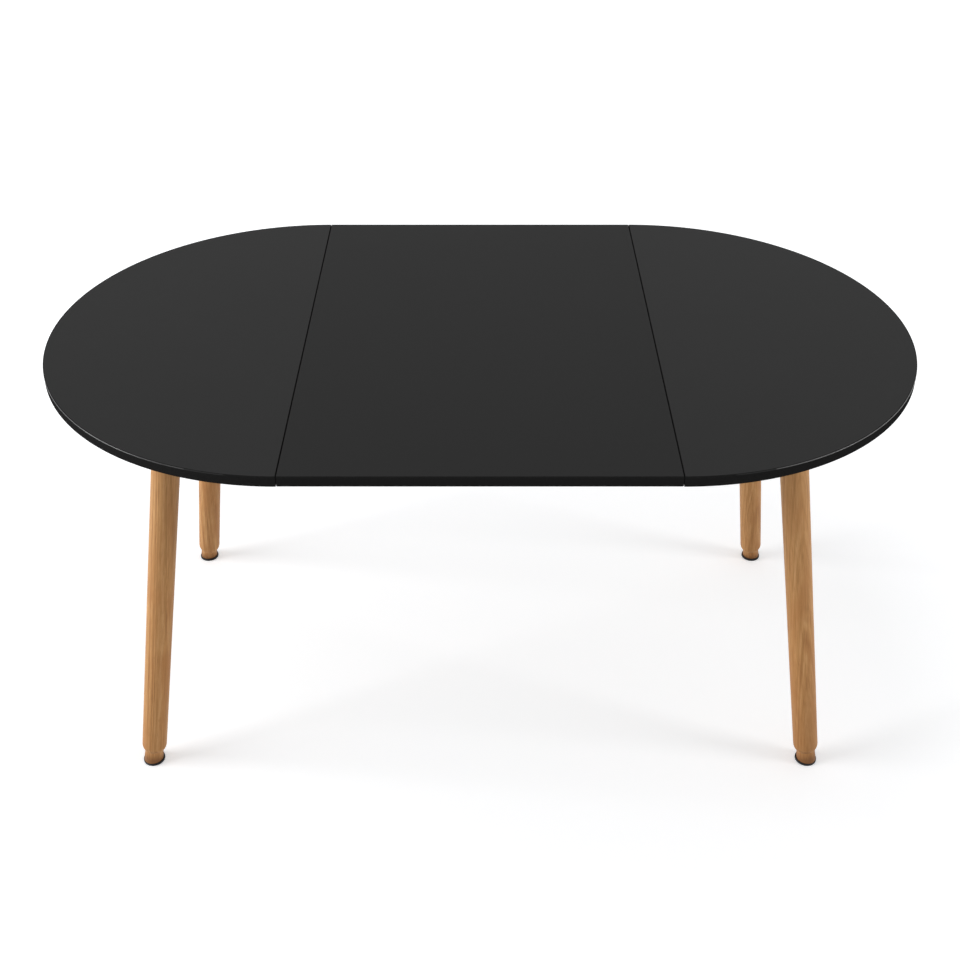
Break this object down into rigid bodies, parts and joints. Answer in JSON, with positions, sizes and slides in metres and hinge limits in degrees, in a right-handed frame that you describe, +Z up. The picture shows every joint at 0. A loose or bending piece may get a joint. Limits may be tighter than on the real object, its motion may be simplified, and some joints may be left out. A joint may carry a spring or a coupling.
{
  "type": "extending dining table",
  "caption": "Round dining table split in halves on geared wooden slides, drawn apart with a loose leaf laid in, on splayed turned oak legs.",
  "frame": {"origin": "on the floor under the middle of the leaf", "axes": "+X along the drawing direction, +Y away from the front edge, +Z up"},
  "size_m": [1.5068, 0.9, 0.75],
  "materials": {
    "black_laminate": "matte black laminate face on board",
    "oiled_oak": "oiled, lengthwise grain",
    "beech": "plain sanded",
    "black_plastic": "fine moulded",
    "white_nylon": "moulded",
    "zinc_steel": "zinc plated",
    "brass": "turned",
    "grey_felt": "pressed felt"
  },
  "bodies": {
    "carriage": {"front_centre_rail": "beech", "back_centre_rail": "beech", "left_tie": "beech", "right_tie": "beech", "tie_screws": "zinc_steel", "pinion_axles": "zinc_steel"},
    "right_half": {"right_top": "black_laminate", "right_front_leg": "oiled_oak", "right_back_leg": "oiled_oak", "right_front_glide": "black_plastic", "right_back_glide": "black_plastic", "right_front_leg_block": "beech", "right_back_leg_block": "beech", "right_front_side_rail": "beech", "right_back_side_rail": "beech", "right_end_rail": "beech", "right_cross_rail": "beech", "right_front_runner": "beech", "right_back_runner": "beech", "right_front_rack": "white_nylon", "right_back_rack": "white_nylon", "right_cross_rail_dowels": "beech", "right_leaf_rests": "beech", "right_glide_screws": "zinc_steel", "right_hanger_bolts": "zinc_steel", "right_threaded_inserts": "brass", "right_frame_screws": "zinc_steel"},
    "left_half": {"left_top": "black_laminate", "left_front_leg": "oiled_oak", "left_back_leg": "oiled_oak", "left_front_glide": "black_plastic", "left_back_glide": "black_plastic", "left_front_leg_block": "beech", "left_back_leg_block": "beech", "left_front_side_rail": "beech", "left_back_side_rail": "beech", "left_end_rail": "beech", "left_cross_rail": "beech", "left_front_runner": "beech", "left_back_runner": "beech", "left_front_rack": "white_nylon", "left_back_rack": "white_nylon", "left_cross_rail_dowels": "beech", "left_leaf_rests": "beech", "left_glide_screws": "zinc_steel", "left_hanger_bolts": "zinc_steel", "left_threaded_inserts": "brass", "left_frame_screws": "zinc_steel"},
    "back_pinion": {"back_pinion": "white_nylon"},
    "front_pinion": {"front_pinion": "white_nylon"},
    "leaf": {"extension_leaf": "black_laminate", "front_leaf_batten": "beech", "back_leaf_batten": "beech", "leaf_pegs": "beech", "leaf_felt_pads": "grey_felt", "leaf_screws": "zinc_steel"}
  },
  "joints": [
    {"name": "right_slide", "type": "slide", "parent": "carriage", "child": "right_half", "axis": [1, 0, 0], "range_m": [0, 0.035]},
    {"name": "left_slide", "type": "slide", "parent": "carriage", "child": "left_half", "axis": [-1, 0, 0], "range_m": [0, 0.035]},
    {"name": "back_pinion_spin", "type": "hinge", "parent": "carriage", "child": "back_pinion", "pos_m": [0, 0.11264, 0.699], "axis": [0, 0, 1], "range_deg": [-122, 0.5]},
    {"name": "front_pinion_spin", "type": "hinge", "parent": "carriage", "child": "front_pinion", "pos_m": [0, -0.11264, 0.699], "axis": [0, 0, 1], "range_deg": [-122, 0.5]},
    {"name": "leaf_lift", "type": "slide", "parent": "carriage", "child": "leaf", "axis": [0, 0, 1], "range_m": [0, 0.35]}
  ],
  "couplings": [
    {"joint": "left_slide", "follows": "right_slide", "ratio": 1},
    {"joint": "back_pinion_spin", "follows": "right_slide", "rad_per_m": -60.606},
    {"joint": "front_pinion_spin", "follows": "right_slide", "rad_per_m": -60.606}
  ]
}
